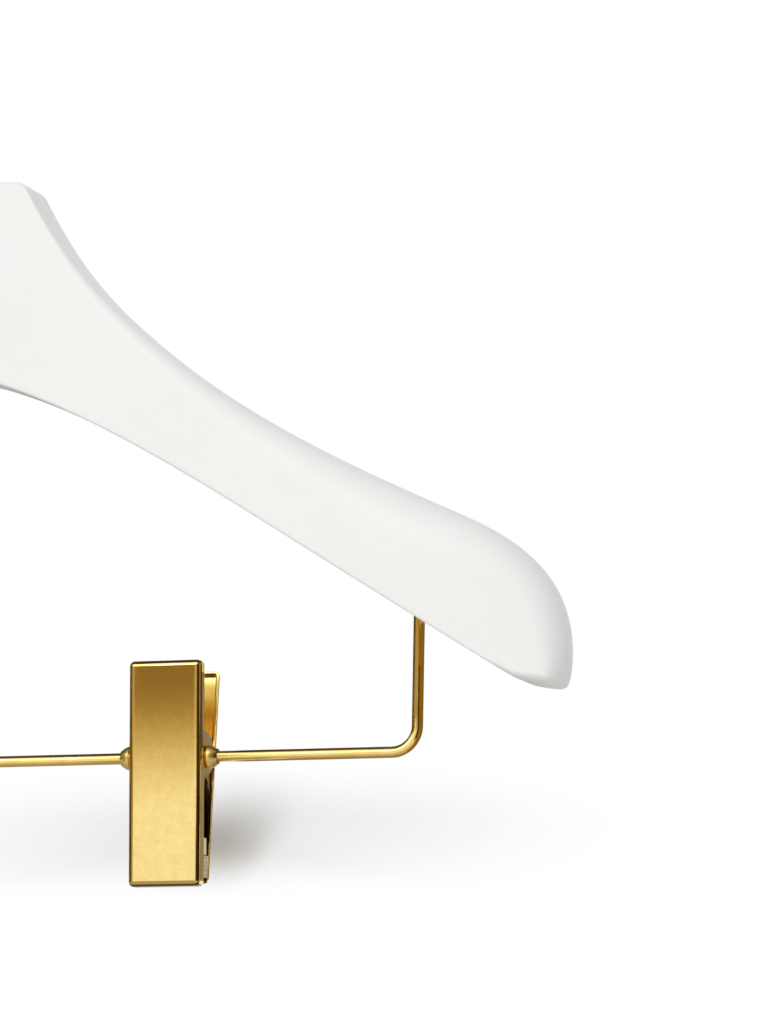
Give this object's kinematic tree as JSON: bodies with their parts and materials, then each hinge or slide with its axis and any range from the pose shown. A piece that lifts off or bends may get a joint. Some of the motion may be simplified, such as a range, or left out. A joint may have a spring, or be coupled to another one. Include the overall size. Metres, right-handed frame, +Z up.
{
  "type": "wide-shoulder clothes hanger",
  "caption": "White wooden suit hanger with flared round shoulders, a turning wire hook and a gold wire bar under the arms carrying sliding sprung metal clips.",
  "frame": {"origin": "the point on the inside of the hook's crook that rests on a rail, straight above the middle of the neck", "axes": "+X along the trouser bar to the viewer's right, +Y towards the back, +Z up"},
  "size_m": [0.4486, 0.0376, 0.3094],
  "materials": {
    "white_paint": "satin white paint over hardwood",
    "bare_wood": "plain beech",
    "gold_wire": "polished gold-coloured plating",
    "gold_sheet": "finely brushed gold-coloured plating",
    "spring_steel": "bright drawn wire",
    "pale_pad": "soft cream moulding"
  },
  "bodies": {
    "body": {"right_arm": "white_paint", "left_arm": "white_paint", "upper_dowel": "bare_wood", "lower_dowel": "bare_wood", "hook_bush": "gold_wire", "trouser_bar": "gold_wire"},
    "swivel_hook": {"hook": "gold_wire", "hook_collar": "gold_wire"},
    "left_slider": {"left_pivot_tube": "gold_wire"},
    "left_clip_front": {"left_front_jaw": "gold_sheet", "left_front_pad": "pale_pad", "left_spring": "spring_steel"},
    "left_clip_back": {"left_back_jaw": "gold_sheet", "left_back_pad": "pale_pad"},
    "right_slider": {"right_pivot_tube": "gold_wire"},
    "right_clip_front": {"right_front_jaw": "gold_sheet", "right_front_pad": "pale_pad", "right_spring": "spring_steel"},
    "right_clip_back": {"right_back_jaw": "gold_sheet", "right_back_pad": "pale_pad"}
  },
  "joints": [
    {"name": "hook_swivel", "type": "hinge", "parent": "body", "child": "swivel_hook", "pos_m": [0, 0, -0.0625], "axis": [0, 0, 1], "continuous": true},
    {"name": "left_clip_slide", "type": "slide", "parent": "body", "child": "left_slider", "axis": [1, 0, 0], "range_m": [-0.058, 0.0675]},
    {"name": "left_clip_swing", "type": "hinge", "parent": "left_slider", "child": "left_clip_front", "pos_m": [-0.0856, 0, -0.2615], "axis": [1, 0, 0], "continuous": true},
    {"name": "left_jaw_open", "type": "hinge", "parent": "left_clip_front", "child": "left_clip_back", "pos_m": [-0.0856, 0, -0.2615], "axis": [1, 0, 0], "range_deg": [0, 20], "stiffness_Nm_per_rad": 0.8, "springref_deg": -28.65, "deforming": ["left_spring"]},
    {"name": "right_clip_slide", "type": "slide", "parent": "body", "child": "right_slider", "axis": [1, 0, 0], "range_m": [-0.0675, 0.058]},
    {"name": "right_clip_swing", "type": "hinge", "parent": "right_slider", "child": "right_clip_front", "pos_m": [0.0856, 0, -0.2615], "axis": [1, 0, 0], "continuous": true},
    {"name": "right_jaw_open", "type": "hinge", "parent": "right_clip_front", "child": "right_clip_back", "pos_m": [0.0856, 0, -0.2615], "axis": [1, 0, 0], "range_deg": [0, 20], "stiffness_Nm_per_rad": 0.8, "springref_deg": -28.65, "deforming": ["right_spring"]}
  ]
}
